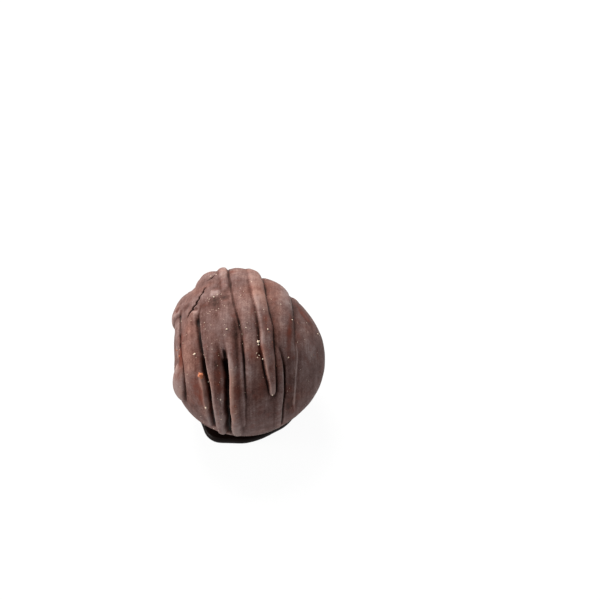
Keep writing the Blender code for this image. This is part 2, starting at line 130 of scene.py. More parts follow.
# Stops are (round, across of the ridge, reach of the left flank, reach of the right flank, height),
# the last three in mm. steep gives the two flanks, from 0 for a slope to 1 for a wall. tips gives the
# degrees over which a strand rounds off at its two ends.
STRANDS = (
    Strand(  # the sheet of chocolate that the strands melted into around the crown
        ((-100, -14, 7.0, 7.0, 0.7), (-60, -14, 7.5, 7.5, 1.1), (-20, -14, 7.5, 8.9, 1.15),
         (0, -13, 7.8, 9.6, 1.1), (14, -9, 9.0, 9.0, 0.95), (28, -6, 8.5, 6.6, 0.65),
         (45, -3, 7.6, 6.0, 0.0)),
        steep=(0.8, 0.8), tips=(20, 4)),
    Strand(  # a thick lobe over the left shoulder
        ((-135, -66, 1.5, 1.5, 0.9), (-80, -61, 2.6, 3.4, 1.4), (-45, -56, 3.6, 5.6, 1.55),
         (-22, -56.5, 3.5, 5.7, 1.6), (-9, -56.5, 3.2, 5.6, 1.5)),
        steep=(0.7, 0.45), tips=(14, 8)),
    Strand(  # a lump of chocolate on the crown beside it
        ((-128, -40, 1.5, 1.6, 0.9), (-80, -32, 2.2, 2.4, 1.25), (-46, -25.5, 2.5, 3.0, 1.65),
         (-24, -24, 2.6, 3.0, 1.1)),
        steep=(0.35, 0.3), tips=(14, 16)),
    Strand(  # the slope between the lobe and the crown, where the layers cracked apart
        ((-40, -36, 2.6, 2.6, 1.0), (-20, -36.5, 3.2, 3.2, 1.3), (-6, -37, 3.2, 3.2, 1.38),
         (6, -38, 3.0, 2.4, 1.38), (18, -39, 2.4, 1.8, 1.2)),
        steep=(0.4, 0.5), tips=(16, 14)),
    Strand(  # a strand that comes out from under the lobe
        ((-20, -57, 1.6, 1.5, 0.9), (13, -57.5, 1.8, 2.4, 1.15), (31, -57, 1.9, 2.7, 1.2),
         (44, -54.5, 1.2, 2.6, 1.1), (58, -52, 0.9, 2.2, 0.8)),
        steep=(0.7, 0.6), tips=(8, 14)),
    Strand(  # the bulge where it ends, low on the left
        ((46, -54, 0.6, 2.7, 0.6), (55, -54, 1.9, 3.0, 1.1), (68, -54, 3.0, 3.3, 1.4),
         (88, -54, 3.0, 3.1, 1.4), (102, -54, 2.2, 2.5, 0.95)),
        steep=(0.6, 0.7), tips=(10, 10)),
    Strand(  # the second strand from under the lobe
        ((-46, -43, 2.2, 2.2, 0.9), (-20, -42.5, 3.0, 2.9, 1.2), (0, -42, 3.6, 2.8, 1.35),
         (15, -41.5, 3.9, 3.4, 1.35), (30, -41, 4.2, 3.9, 1.35), (46, -39, 4.4, 4.1, 1.2),
         (58, -36, 4.8, 3.2, 0.8), (72, -31, 5.4, 2.0, 0.2)),
        steep=(0.8, 0.0), tips=(14, 6)),
    Strand(  # its lower half, wide and smooth, which fades out into the shell
        ((34, -41, 3.6, 3.2, 0.7), (52, -38.5, 4.6, 4.1, 1.15), (66, -34.5, 6.0, 3.0, 1.2),
         (80, -30, 7.2, 1.8, 1.0), (98, -29, 7.6, 1.8, 0.6), (118, -28, 7.6, 1.8, 0.1)),
        steep=(0.0, 0.5), tips=(10, 20)),
    Strand(  # the lip along its right edge, which ends in a point
        ((52, -31.6, 1.5, 0.9, 1.1), (59, -30.0, 1.7, 0.8, 1.33), (70, -27.9, 1.8, 0.75, 1.38),
         (80, -26.6, 1.5, 0.65, 1.35), (89, -25.9, 0.9, 0.5, 1.1)),
        steep=(0.0, 0.7), tips=(9, 4)),
    Strand(  # the layer that crept forward from the crown
        ((-66, -27, 3.4, 3.0, 1.2), (-30, -26, 4.0, 4.6, 1.5), (-12, -25, 3.6, 5.0, 1.55),
         (4, -24, 3.2, 5.0, 1.5)),
        steep=(0.45, 0.4), tips=(20, 8)),
    Strand(  # a low step across it, where it met the next pour
        ((-14, -20, 1.6, 1.7, 1.5), (-6, -19.5, 1.8, 1.9, 1.8), (-1, -19.5, 1.6, 1.7, 1.72)),
        steep=(0.6, 0.6), tips=(8, 3)),
    Strand(  # a narrow strand along its right edge
        ((-118, -24, 1.1, 1.1, 0.8), (-75, -18, 1.4, 1.3, 1.3), (-42, -14.5, 1.6, 1.2, 1.8),
         (-25, -13.5, 1.5, 1.1, 1.65), (-6, -12.5, 1.2, 1.0, 1.5)),
        steep=(0.6, 0.7), tips=(10, 8)),
    Strand(  # left of two strands that ran together and part into tines
        ((-40, -25, 2.4, 3.0, 0.6), (-6, -25.5, 2.5, 3.2, 0.9), (7, -26, 2.6, 3.4, 1.35),
         (20, -25.5, 2.6, 3.8, 1.4), (40, -23.6, 2.2, 3.6, 1.4), (60, -20.4, 1.7, 2.8, 1.4),
         (85, -18.2, 1.5, 2.1, 1.3), (105, -17.2, 1.3, 1.8, 1.05), (122, -16.2, 1.1, 1.5, 0.8)),
        steep=(0.8, 0.15), tips=(8, 8)),
    Strand(  # right of the two
        ((-40, -14, 2.6, 1.2, 0.6), (-6, -12.8, 2.7, 1.6, 1.0), (8, -12, 2.8, 2.0, 1.35),
         (22, -9.6, 2.4, 2.1, 1.35), (40, -7.8, 1.2, 2.0, 1.35), (60, -7.1, 1.05, 2.0, 1.35),
         (85, -6.5, 1.05, 1.9, 1.3), (122, -5.8, 1.0, 1.7, 0.7)),
        steep=(0.85, 0.2), tips=(8, 12)),
    Strand(  # what fills the gap between them above the slot
        ((-40, -19, 3.4, 3.4, 0.5), (-6, -18.5, 3.4, 3.4, 0.8), (9, -18, 3.6, 3.6, 1.35),
         (28, -15.5, 3.2, 3.0, 1.3), (37, -13.5, 2.4, 2.2, 0.9), (46, -12, 1.6, 1.6, 0.3)),
        steep=(0.5, 0.5), tips=(8, 4)),
    Strand(  # a low lip along the right tine
        ((20, -3.4, 1.8, 0.8, 0.6), (45, -1.4, 2.2, 0.7, 0.8), (66, -0.4, 2.2, 0.7, 0.75),
         (104, -0.6, 2.0, 0.6, 0.3)),
        steep=(0.5, 0.7), tips=(12, 12)),
    Strand(  # left half of the broad band over the crown, which melts away into the shell
        ((-138, -12, 1.6, 1.6, 1.0), (-90, -9, 2.3, 2.6, 1.25), (-45, -4, 2.6, 3.4, 1.25),
         (-10, -2.5, 2.0, 3.5, 1.3), (5, 0.2, 2.0, 3.2, 1.3), (20, 2.8, 1.9, 2.8, 1.22),
         (38, 5.8, 1.9, 2.6, 1.1), (52, 7.2, 2.1, 3.1, 0.9), (66, 8, 2.3, 3.6, 0.65),
         (85, 8, 2.4, 4.0, 0.4), (106, 8, 2.4, 4.0, 0.1)),
        steep=(0.85, 0.4), tips=(10, 6)),
    Strand(  # its right half, which tapers to a tip
        ((-120, -1, 1.4, 1.6, 1.0), (-80, 0.5, 1.7, 2.2, 1.35), (-45, 3.5, 1.6, 2.6, 1.52),
         (-10, 7, 1.5, 2.6, 1.62), (8, 10.2, 1.3, 2.6, 1.6), (20, 12.2, 1.15, 2.75, 1.6),
         (38, 14.6, 1.0, 2.5, 1.5), (57, 17.9, 0.85, 1.55, 1.35), (73.5, 19.8, 0.6, 0.9, 1.05)),
        steep=(0.6, 0.9), tips=(10, 5)),
    Strand(  # a wide strand over the right of the crown
        ((-134, 8, 1.4, 1.4, 1.0), (-80, 13, 2.4, 2.4, 1.2), (-45, 20, 3.3, 3.4, 1.15),
         (-25, 24.5, 4.0, 3.2, 1.35), (-5, 28, 4.4, 2.9, 1.4), (8, 29, 3.9, 2.8, 1.35),
         (20, 29.5, 3.4, 2.9, 1.1), (30, 30.5, 3.0, 2.8, 0.8), (40, 32, 2.4, 2.8, 0.55),
         (50, 33, 1.6, 2.8, 0.42), (64, 33, 1.3, 2.6, 0.3), (84, 32, 1.2, 2.4, 0.15)),
        steep=(0.3, 0.5), tips=(10, 14)),
    Strand(  # the thin cord that runs on from it down to the foot
        ((34, 24.5, 1.3, 1.2, 0.4), (44, 25, 1.2, 1.1, 0.55), (56, 25.9, 1.2, 1.0, 0.72),
         (72, 26, 1.2, 1.0, 0.75), (94, 25, 1.1, 0.9, 0.65), (122, 24, 1.0, 0.8, 0.5)),
        steep=(0.1, 0.6), tips=(16, 10)),
    Strand(  # a fine thread on the right
        ((30, 39.7, 0.35, 0.45, 0.2), (45, 40, 0.35, 0.5, 0.38), (62, 38.3, 0.35, 0.5, 0.42),
         (78, 37, 0.35, 0.5, 0.42), (104, 38, 0.35, 0.4, 0.2)),
        steep=(0.8, 0.2), tips=(12, 12)),
    Strand(  # two that cross the back
        ((-112, 26, 1.1, 1.1, 0.8), (-80, 29, 1.5, 1.5, 1.1), (-56, 31, 1.3, 1.3, 0.9)),
        steep=(0.7, 0.7), tips=(10, 10)),
    Strand(
        ((-126, 48, 1.0, 1.0, 0.7), (-95, 45, 1.4, 1.4, 0.9), (-62, 38, 1.2, 1.2, 0.8)),
        steep=(0.7, 0.7), tips=(10, 10)),
)

print(len(STRANDS), "strands")

# %% [markdown]
# Where two strands set side by side, a groove stays between them that reaches below the shell. The
# deepest is the slot between the two tines on the front. A groove is a route with a width and a
# depth, and is taken away from the surface.

# %% Grooves between the strands
# Stops are (round, across), and the half width and the depth are in mm.
Groove = namedtuple("Groove", "route half_width depth")

GROOVES = (
    Groove(((-9, -51.5), (13, -52.7), (30, -52), (47, -48.2), (58, -46.2), (92, -45.6)), 0.25, 0.35),
    Groove(((6, -34.6), (20, -33.2), (38, -30.4), (54, -27.4)), 0.6, 0.35),
    Groove(((44, -29.3), (54, -27.4), (71, -24.7), (90, -22.9), (114, -22)), 0.75, 0.9),
    Groove(((38, -12.6), (48, -12.3), (62, -12)), 0.35, 0.8),
    Groove(((45, -12.3), (58, -12), (84, -11.8), (122, -12.2)), 0.7, 1.3),
    Groove(((36, 25.9), (42, 27.4), (47, 28.4), (54, 29.3), (62, 29.5)), 0.34, 0.25),
    Groove(((50, 28.8), (58, 29.4), (70, 29.6), (88, 28.4), (118, 27)), 0.36, 0.6),
    Groove(((36, 10.9), (43, 13), (59, 15.9), (73, 18.2)), 0.3, 0.2),
    Groove(((-70, -13.5), (-40, -11.5), (-10, -8.7), (12, -5), (26, -2.4)), 0.25, 0.22),
    Groove(((12, -5), (31, -1.3), (50, 0.8), (74, 1.4)), 0.28, 0.14),
)

print(len(GROOVES), "grooves")

# %% Lines through the stops of a route
def smooth_line(stops, column, at):
    """A smooth line through one column of a route's stops, read at the given angles round."""
    knots = np.array([stop[0] for stop in stops], float)
    values = np.array([stop[column] for stop in stops], float)
    slopes = np.gradient(values, knots)
    left = np.clip(np.searchsorted(knots, at) - 1, 0, len(knots) - 2)
    span = knots[left + 1] - knots[left]
    t = np.clip((at - knots[left]) / span, 0.0, 1.0)
    rise = values[left] * (1 + 2 * t) * (1 - t) ** 2 + values[left + 1] * t**2 * (3 - 2 * t)
    return rise + span * (slopes[left] * t * (1 - t) ** 2 - slopes[left + 1] * t**2 * (1 - t))


def tip_shape(stops, round_, lengths):
    """1 along a route, rounding down to 0 over the given lengths at its start and its end."""
    inside = np.minimum((round_ - stops[0][0]) / lengths[0], (stops[-1][0] - round_) / lengths[1])
    inside = np.clip(inside, 0.0, 1.0)
    return np.sqrt(inside * (2.0 - inside))


# %% The height of a strand and the depth of a groove
TIP_LENGTH = 8.0  # degrees over which the end of a groove rounds off
TIP_WIDTH = 0.35  # how wide the very end of a strand is, as a share of its width
SOFT_FLANK_TOP = 2.0  # exponents of the curve from a ridge down: a soft flank fades out,
STEEP_FLANK_TOP = 3.5  # a steep one stays level for longer
SOFT_FLANK_DROP = 1.4
STEEP_FLANK_DROP = 0.5  # and then drops like the side of a bead
LEAST_REACH = 0.1  # mm, the narrowest flank, so that nothing is divided by 0
LEVEL_FLOOR = 4  # a power: grooves and pits have steep sides and a level floor


def flank(t, steep):
    """How high a flank stands from its ridge (t = 0) to its edge (t = 1)."""
    level_top = SOFT_FLANK_TOP + (STEEP_FLANK_TOP - SOFT_FLANK_TOP) * steep
    drop = SOFT_FLANK_DROP + (STEEP_FLANK_DROP - SOFT_FLANK_DROP) * steep
    return (1.0 - t ** level_top) ** drop


def strand_height(strand, across, round_):
    """How far one strand of drizzle stands out at each place, in mm."""
    tip = tip_shape(strand.route, round_, strand.tips)
    narrowing = TIP_WIDTH + (1.0 - TIP_WIDTH) * tip
    offset = np.radians(across - smooth_line(strand.route, 1, round_)) * BALL_RADIUS
    on_left = offset < 0
    left_reach = smooth_line(strand.route, 2, round_)
    right_reach = smooth_line(strand.route, 3, round_)
    reach = np.where(on_left, left_reach, right_reach)
    t = np.clip(np.abs(offset) / (np.maximum(reach, LEAST_REACH) * narrowing), 0.0, 1.0)
    profile = np.where(on_left, flank(t, strand.steep[0]), flank(t, strand.steep[1]))
    return np.maximum(smooth_line(strand.route, 4, round_), 0.0) * tip * profile


def groove_depth(groove, across, round_):
    """How deep one groove cuts at each place, in mm."""
    offset = np.radians(across - smooth_line(groove.route, 1, round_)) * BALL_RADIUS
    tip = tip_shape(groove.route, round_, (TIP_LENGTH, TIP_LENGTH))
    return groove.depth * tip * np.exp(-((offset / groove.half_width) ** LEVEL_FLOOR))


# %% [markdown]
# ## Cracks, pits and unevenness
#
# Where one layer of chocolate crept over another, a crack opened as it cooled, and a bubble of air
# that burst left a shallow pit. A crack is a chain of straight cuts with a sharp bottom. The set
# chocolate is also never smooth: it is uneven at the size of the filling's oats and nuts, some
# 3 mm, and has a finer grain.

# %% Cracks and pits
# Places are (round, across), and widths, spreads and depths are in mm.
Crack = namedtuple("Crack", "places half_width depth")
Pit = namedtuple("Pit", "round_ across spread depth")
CRACK_END = 0.35  # how deep a crack is at its very ends, as a share of its depth
CRACK_FADE = 2.5  # mm over which it would go from nothing to its whole depth

CRACKS = (
    Crack(((-17.7, -26.8), (-14.6, -28.9), (-13.2, -28.3), (-11.2, -31.6), (-8.6, -31.9), (-6.4, -33.9),
           (-3.6, -33.9), (-1.2, -36.8), (0.8, -36.9), (2.6, -39.3), (6.2, -40.9)), 0.12, 1.0),
    Crack(((-26.8, -24.9), (-27.6, -22.6), (-32, -19.9)), 0.12, 0.5),
    Crack(((9, -52.5), (14, -51.9), (19, -53), (26, -51.6), (31, -52.4), (38, -49.7), (44, -49.6),
           (50, -47.3), (58, -46.6)), 0.12, 0.4),
)
PITS = (
    Pit(-18.4, -52.5, 0.9, 0.35),
    Pit(-8.0, -43.0, 1.1, 0.25),
    Pit(1.5, -34.6, 0.6, 0.35),
    Pit(42.0, 11.0, 0.6, 0.35),
    Pit(-1.0, -12.5, 0.9, 0.25),
)


def nearest_on_chain(points, chain):
    """The distance from each point to a chain of straight pieces, in the same unit."""
    nearest = np.full(len(points), np.inf)
    for start, end in zip(chain[:-1], chain[1:]):
        along = end - start
        t = np.clip(((points - start) @ along) / (along @ along), 0.0, 1.0)
        gap = np.linalg.norm(points - (start + t[:, None] * along), axis=1)
        nearest = np.minimum(nearest, gap)
    return nearest


def crack_depth(crack, directions):
    """How deep one crack cuts at each place, in mm: a sharp V that shallows towards its ends."""
    chain = [direction(across, round_) for round_, across in crack.places]
    gap = nearest_on_chain(directions, chain) * BALL_RADIUS
    ends = np.minimum(np.linalg.norm(directions - chain[0], axis=1),
                      np.linalg.norm(directions - chain[-1], axis=1)) * BALL_RADIUS
    shallowing = np.clip(CRACK_END + ends / CRACK_FADE, 0.0, 1.0)
    return crack.depth * np.exp(-gap / crack.half_width) * shallowing


def pit_depth(pit, directions):
    """How deep one pit goes at each place, in mm."""
    gap = np.linalg.norm(directions - direction(pit.across, pit.round_), axis=1) * BALL_RADIUS
    return pit.depth * np.exp(-((gap / pit.spread) ** LEVEL_FLOOR))


# %% Unevenness
LUMP_SIZE = 9.0  # mm
LUMP_HEIGHT = 0.2  # mm
OAT_SIZE = 3.0  # mm
OAT_HEIGHT = 0.07  # mm
GRAIN_SIZE = 0.9  # mm
GRAIN_HEIGHT = 0.022  # mm
WAVER_SIZE = 5.0  # mm
WAVER = 0.8  # degrees that the edge of a strand wanders to either side
WAVER_SHIFT = 3.0  # takes the wandering from another part of the noise


def noise_of_size(directions, size):
    """Smooth random values from -1 to 1 that change over the given size in mm."""
    scale = BALL_RADIUS / size
    return np.array([noise.noise(Vector(d) * scale) for d in directions])


def unevenness(directions):
    """The height that lumps, the filling under the shell and the grain add at each place, in mm."""
    lumps = LUMP_HEIGHT * noise_of_size(directions, LUMP_SIZE)
    oats = OAT_HEIGHT * noise_of_size(directions, OAT_SIZE)
    grain = GRAIN_HEIGHT * noise_of_size(directions, GRAIN_SIZE)
    return lumps + oats + grain


# %% [markdown]
# ## One surface from all of it
#
# Heights of strands that cross or meet are joined as powers and a root: it follows the higher
# strand and rounds off the join, as melted chocolate does. A plain maximum would leave a crease.

# %% The distance from the centre to the surface
MELT = 5.0  # strands that meet melt into each other: a low number rounds the join off


def surface_radius(directions):
    """The distance from the ball's centre to its surface in each direction, in mm."""
    across, round_ = angles(directions)
    radius = BALL_RADIUS + unevenness(directions)
    for swell in SWELLS:
        towards = direction(swell.across, swell.round_)
        away = np.degrees(np.arccos(np.clip(directions @ towards, -1.0, 1.0)))
        radius += swell.height * np.exp(-((away / swell.spread) ** 2))
    wandered = across + WAVER * noise_of_size(directions + WAVER_SHIFT, WAVER_SIZE)
    drizzle = np.zeros(len(directions))
    for strand in STRANDS:
        drizzle += strand_height(strand, wandered, round_) ** MELT
    drizzle **= 1.0 / MELT
    for groove in GROOVES:
        drizzle -= groove_depth(groove, wandered, round_)
    for crack in CRACKS:
        drizzle -= crack_depth(crack, directions)
    for pit in PITS:
        drizzle -= pit_depth(pit, directions)
    return radius + drizzle


print("radius at the crown, mm:", round(float(surface_radius(direction(0.0, 0.0)[None, :])[0]), 2))

# %% [markdown]
# ## A mesh that runs with the strands
#
# The ball starts as a UV sphere with its poles left and right, so that its mesh lines run the same
# way as the drizzle. A groove that crosses the lines at a slant would come out as a row of teeth.
# So the lines are slid sideways first, until they run along guides laid in the grooves.

# %% Guides for the mesh lines
Guide = namedtuple("Guide", "share route")
POLE = 90.0  # degrees across at which the lines around the ball come together

# share is how many of each hundred mesh lines lie left of the guide; stops are (round, across).
GUIDES = (
    Guide(8, ((-135, -68), (135, -68))),
    Guide(17, ((-135, -60), (-80, -54), (-45, -50), (-14, -52), (13, -52.7), (30, -52), (47, -48.2),
               (58, -46.2), (92, -45.6), (135, -45.6))),
    Guide(30, ((-128, -47), (-80, -41), (-46, -36), (-20, -35.6), (6, -34.6), (20, -33.2), (38, -30.5),
               (54, -27.4), (71, -24.7), (90, -22.9), (114, -22), (135, -22))),
    Guide(43, ((-118, -30), (-75, -26), (-42, -22), (-6, -19), (15, -17.5), (28, -15), (38, -12.5),
               (53, -11.9), (84, -11.8), (122, -12.2), (135, -12.2))),
    Guide(51, ((-138, -17), (-90, -15), (-40, -11.5), (-10, -8.7), (12, -5), (31, -1.3), (50, 0.8),
               (74, 1.4), (96, 0.6), (135, 0.6))),
    Guide(60, ((-120, -4), (-80, -3.4), (-45, -1.6), (-10, 3), (5, 6.3), (26, 9.8), (43, 13),
               (59, 15.7), (73, 18), (110, 17), (135, 17))),
    Guide(68, ((-134, 3), (-80, 6), (-39, 10.8), (-12, 13.9), (5, 17.1), (19, 19.9), (31, 21.4),
               (45, 22.7), (62, 23.9), (80, 23.9), (122, 22), (135, 22))),
    Guide(74, ((-134, 8), (-80, 13), (-45, 18), (-5, 21), (20, 23.5), (34, 25.4), (46, 28.2), (54, 29.3),
               (70, 29.6), (88, 28.4), (118, 27), (135, 27))),
    Guide(82, ((-134, 14), (-80, 20), (-45, 29), (-5, 36), (9, 37.5), (33, 39.5), (62, 38.3), (78, 37),
               (104, 38), (135, 38))),
)


def guide_across(route, round_):
    """Where a guide runs: along its stops, then straight under the ball from the last to the first."""
    start, end = route[0][0], route[-1][0]
    t = np.where(round_ > end, round_ - end, round_ + 360.0 - end) / (start + 360.0 - end)
    under = route[-1][1] + (route[0][1] - route[-1][1]) * t
    return np.where((round_ < start) | (round_ > end), under, smooth_line(route, 1, round_))


def along_the_strands(across, round_):
    """Slide evenly spread mesh lines sideways so that they run along the guides."""
    share = 100.0 * (across + POLE) / (2.0 * POLE)
    shares = [0.0] + [guide.share for guide in GUIDES] + [100.0]
    lines = [np.full(len(share), -POLE)]
    for guide in GUIDES:
        lines.append(guide_across(guide.route, round_))
    lines.append(np.full(len(share), POLE))
    slid = np.zeros(len(share))
    for number in range(len(shares) - 1):
        width = shares[number + 1] - shares[number]
        t = (share - shares[number]) / width
        between = (1.0 - t) * lines[number] + t * lines[number + 1]
        slid = np.where((share >= shares[number]) & (share <= shares[number + 1]), between, slid)
    return slid


print(len(GUIDES), "guides")

# %% [markdown]
# The cracks run across the mesh lines and are narrower than a face. So the faces around them are
# cut finer before the surface is shaped.

# %% The ball's mesh before it is shaped
MESH_LINES = 340  # from the left pole to the right pole
MESH_STEPS = 276  # round
FINER_WITHIN = 0.8  # mm from a crack
FINER_CUTS = 2  # in each edge


def unit_ball():
    """A sphere of radius 1 whose mesh runs along the strands and is finer around the cracks."""
    bm = bmesh.new()
    bmesh.ops.create_uvsphere(bm, u_segments=MESH_STEPS, v_segments=MESH_LINES, radius=1.0)
    bmesh.ops.rotate(bm, verts=bm.verts, matrix=Matrix.Rotation(math.radians(90), 3, "Y"))
    even = np.array([vert.co.normalized() for vert in bm.verts])
    across, round_ = angles(even)
    slid = direction(along_the_strands(across, round_), round_)
    near = np.full(len(slid), np.inf)
    for crack in CRACKS:
        chain = [direction(a, r) for r, a in crack.places]
        near = np.minimum(near, nearest_on_chain(slid, chain) * BALL_RADIUS)
    close = near < FINER_WITHIN
    bm.verts.ensure_lookup_table()
    for vert, place in zip(bm.verts, slid):
        vert.co = place
    edges = [edge for edge in bm.edges if close[edge.verts[0].index] and close[edge.verts[1].index]]
    bmesh.ops.subdivide_edges(bm, edges=edges, cuts=FINER_CUTS, use_grid_fill=True)
    return bm


# %% The shaped ball
def new_object(name, bm):
    """An object from a finished bmesh, smooth shaded, in the scene."""
    mesh = bpy.data.meshes.new(name)
    bm.to_mesh(mesh)
    bm.free()
    mesh.shade_smooth()
    made = bpy.data.objects.new(name, mesh)
    bpy.context.scene.collection.objects.link(made)
    return made


def triangles(obj):
    """How many triangles an object's mesh has."""
    obj.data.calc_loop_triangles()
    return len(obj.data.loop_triangles)


bm = unit_ball()
towards = np.array([vert.co.normalized() for vert in bm.verts])
radius = surface_radius(towards)
points = towards * radius[:, None]
points[:, 2] = np.maximum(points[:, 2] + CENTRE_HEIGHT, SUNK_TO)
middle = (points.min(axis=0) + points.max(axis=0)) / 2
points -= (middle[0], middle[1], 0.0)
for vert, point in zip(bm.verts, points):
    vert.co = point * MM
bmesh.ops.recalc_face_normals(bm, faces=bm.faces)
ball = new_object("chocolate_ball", bm)
print("ball:", triangles(ball), "triangles, box mm", [round(x * 1000, 1) for x in ball.dimensions])

# %% [markdown]
# ## Marks for the finish
#
# The finish differs from place to place: grooves kept their dark chocolate, crests took the bloom,
# and some patches were melted again. Furrows, hollows and flanks that face away from the light also
# get painted shade, and crests come out a little lighter. A shader can't see how deep a groove is.
# So these facts are worked out here and kept on the mesh as attributes, which any renderer can read.

# %% How far each place lies below what surrounds it
BLUR_NARROW = 24  # rounds of averaging, about 1 mm
BLUR_WIDE = 160  # rounds of averaging, about 3 mm


def averaged(values, edges, rounds):
    """Values spread over the mesh by averaging each vertex with its neighbours again and again."""
    start, end = edges[:, 0], edges[:, 1]
    count = 1 + np.bincount(edges.ravel(), minlength=len(values))
    for _ in range(rounds):
        total = values + np.bincount(start, weights=values[end], minlength=len(values))
        total += np.bincount(end, weights=values[start], minlength=len(values))
        values = total / count
    return values


def mark(obj, name, values):
    """Keep one number per vertex on the mesh."""
    attribute = obj.data.attributes.new(name, "FLOAT", "POINT")
    attribute.data.foreach_set("value", np.asarray(values, np.float32))


# A crack is darkened beyond its depth: bare dark chocolate inside it, and painted shade.
CRACK_SHADE = 2.0  # a crack bares the dark inside, so it counts for more than its depth

edges = np.zeros(len(ball.data.edges) * 2, np.int64)
ball.data.edges.foreach_get("vertices", edges)
edges = edges.reshape(-1, 2)
narrow = averaged(radius, edges, BLUR_NARROW)
wide = averaged(narrow, edges, BLUR_WIDE)
cracked = sum(crack_depth(crack, towards) for crack in CRACKS)
# Deeper places get less bloom and painted shade in the colour, and crests come out a little lighter.
mark(ball, "furrow_less_bloom_and_shade", narrow - radius + CRACK_SHADE * cracked)
mark(ball, "hollow_less_bloom_and_shade", wide - radius)
print("deepest furrow, mm:", round(float((narrow - radius).max()), 2))
print("deepest hollow, mm:", round(float((wide - radius).max()), 2))

# %% Patches of their own colour, and patches of painted shade
# The middle and the spread of a patch are in degrees.
Patch = namedtuple("Patch", "round_ across spread_round spread_across strength")

# Where the chocolate stayed redder and darker than the bloom around it.
RED_PATCHES = [Patch(*patch) for patch in (
    (-11, 51, 7, 8, 1.0), (-16, 45, 6, 5, 0.7), (22, 32.5, 14, 2.5, 0.55),
    (20, 14.5, 14, 3, 0.35), (39, 12.5, 7, 2.5, 0.3), (38, -50, 26, 2.5, 0.6),
    (76, -29, 12, 4, 0.5), (-46, 4, 8, 16, 0.45), (41, 7, 7, 5, 0.2), (67, -34, 12, 6, 0.4),
    (61, -16.5, 20, 3, 0.35), (70, -5, 24, 2.5, 0.35), (68, 12, 10, 4, 0.3),
    (98, 37, 8, 5, 0.35), (80, 33, 30, 3, 0.25),
)]
# Where the bloom lies thicker than around it.
PALE_PATCHES = [Patch(*patch) for patch in (
    (-25, 4, 50, 13, 0.7), (-5, 31, 25, 6, 0.4), (-10, 44, 12, 4, 0.6), (100, 5, 25, 25, 0.5),
    (36, 52, 26, 9, 0.8), (68, -39, 12, 10, 0.5),
)]
# Where brown cocoa shows through the grey.
WARM_PATCHES = [Patch(*patch) for patch in (
    (45, -42, 34, 10, 1.0), (72, -28, 22, 6, 0.9), (72, -7, 26, 5, 0.9), (48, 11, 18, 6, 0.7),
    (-20, 10, 26, 14, 0.7), (35, 22, 34, 4, 0.5), (68, 12, 12, 6, 0.5),
)]
# Painted shade: darker patches on flanks that face away from the light, most of all on the steep
# side of a strand.
PAINTED_FLANK_SHADE_PATCHES = [Patch(*patch) for patch in (
    (36, -29.5, 26, 5, 1.6), (44, -25.0, 16, 2.5, 1.2), (56, -17.5, 20, 3.5, 1.1),
    (68, 32, 26, 3.5, 0.9), (28, 19.5, 26, 3, 1.0), (24, -6, 22, 3, 1.3), (8, -17, 16, 9, 0.45),
    (-8, -42, 18, 12, 0.4), (40, -12, 8, 6, 0.6), (62, 24, 16, 3, 0.6), (8, -29, 14, 6, 0.5),
    (75, 7, 10, 8, 0.4), (14, 32, 18, 4, 0.3),
)]


def patchy(patches, across, round_):
    """How strongly the strongest patch shows at each place."""
    strongest = np.zeros(len(across))
    for patch in patches:
        away = ((round_ - patch.round_) / patch.spread_round) ** 2
        away += ((across - patch.across) / patch.spread_across) ** 2
        strongest = np.maximum(strongest, patch.strength * np.exp(-away))
    return strongest


kinds = {"redness": RED_PATCHES, "paleness": PALE_PATCHES, "painted_flank_shade": PAINTED_FLANK_SHADE_PATCHES, "warmth": WARM_PATCHES}
for kind, patches in kinds.items():
    mark(ball, kind, patchy(patches, *angles(towards)))
    print(kind + ":", len(patches), "patches")

# %% [markdown]
# ## The foot
#
# Chocolate that ran down pooled on the sheet and set as a thin disc with an uneven outline and a
# rounded rim. A profile turned round the middle, with its own radius in every direction, gives
# exactly that. It touched the smooth sheet and cooled last, so it stayed dark, and its colour below
# also holds painted shade from the ball above it.

# %% The foot's outline and profile
FOOT_RADIUS = 13.4  # mm
FOOT_HEIGHT = 1.9  # mm
FOOT_ROUNDING = 0.8  # mm, the rim
FOOT_STEPS = 240  # round
RIM_STEPS = 8  # round the rim
RIM_LOW_SHARE = 0.38  # the share of them that lies below its widest place
UNDERSIDE_INSET = 0.6  # how far in the underside starts, as a share of the rounding
TOP_INSET = 3.0  # mm, where the level top starts
FOOT_WAVER = 0.008  # how far the outline wanders, as a share of its radius
FOOT_WAVER_SCALE = 4.0  # the higher, the more often it wanders

# Lobes: compass angle from +X, spread in degrees, how far each reaches out in mm.
FOOT_LOBES = (
    (236, 18, 2.3),
    (266, 12, 0.5),
    (304, 18, -0.8),
    (335, 16, -0.3),
    (20, 28, 0.7),
    (108, 24, 1.3),
    (165, 22, -0.9),
)


def foot_radius(compass):
    """The foot's uneven outline: its radius towards a compass angle in degrees, in mm."""
    reach = FOOT_RADIUS
    for lobe, spread, height in FOOT_LOBES:
        turn = (compass - lobe + 180.0) % 360.0 - 180.0
        reach += height * math.exp(-((turn / spread) ** 2))
    return reach


def foot_profile():
    """(how far in from the outline, height) from the underside, round the rim, to the top, in mm."""
    profile = [(FOOT_ROUNDING * UNDERSIDE_INSET, 0.0)]
    for step in range(RIM_STEPS + 1):
        turn = math.pi / 2 * (step / RIM_STEPS - RIM_LOW_SHARE) / (1 - RIM_LOW_SHARE)
        inwards = FOOT_ROUNDING * (1 - math.cos(turn))
        profile.append((inwards, FOOT_HEIGHT * (0.5 + 0.5 * math.sin(turn))))
    profile.append((TOP_INSET, FOOT_HEIGHT))
    return profile


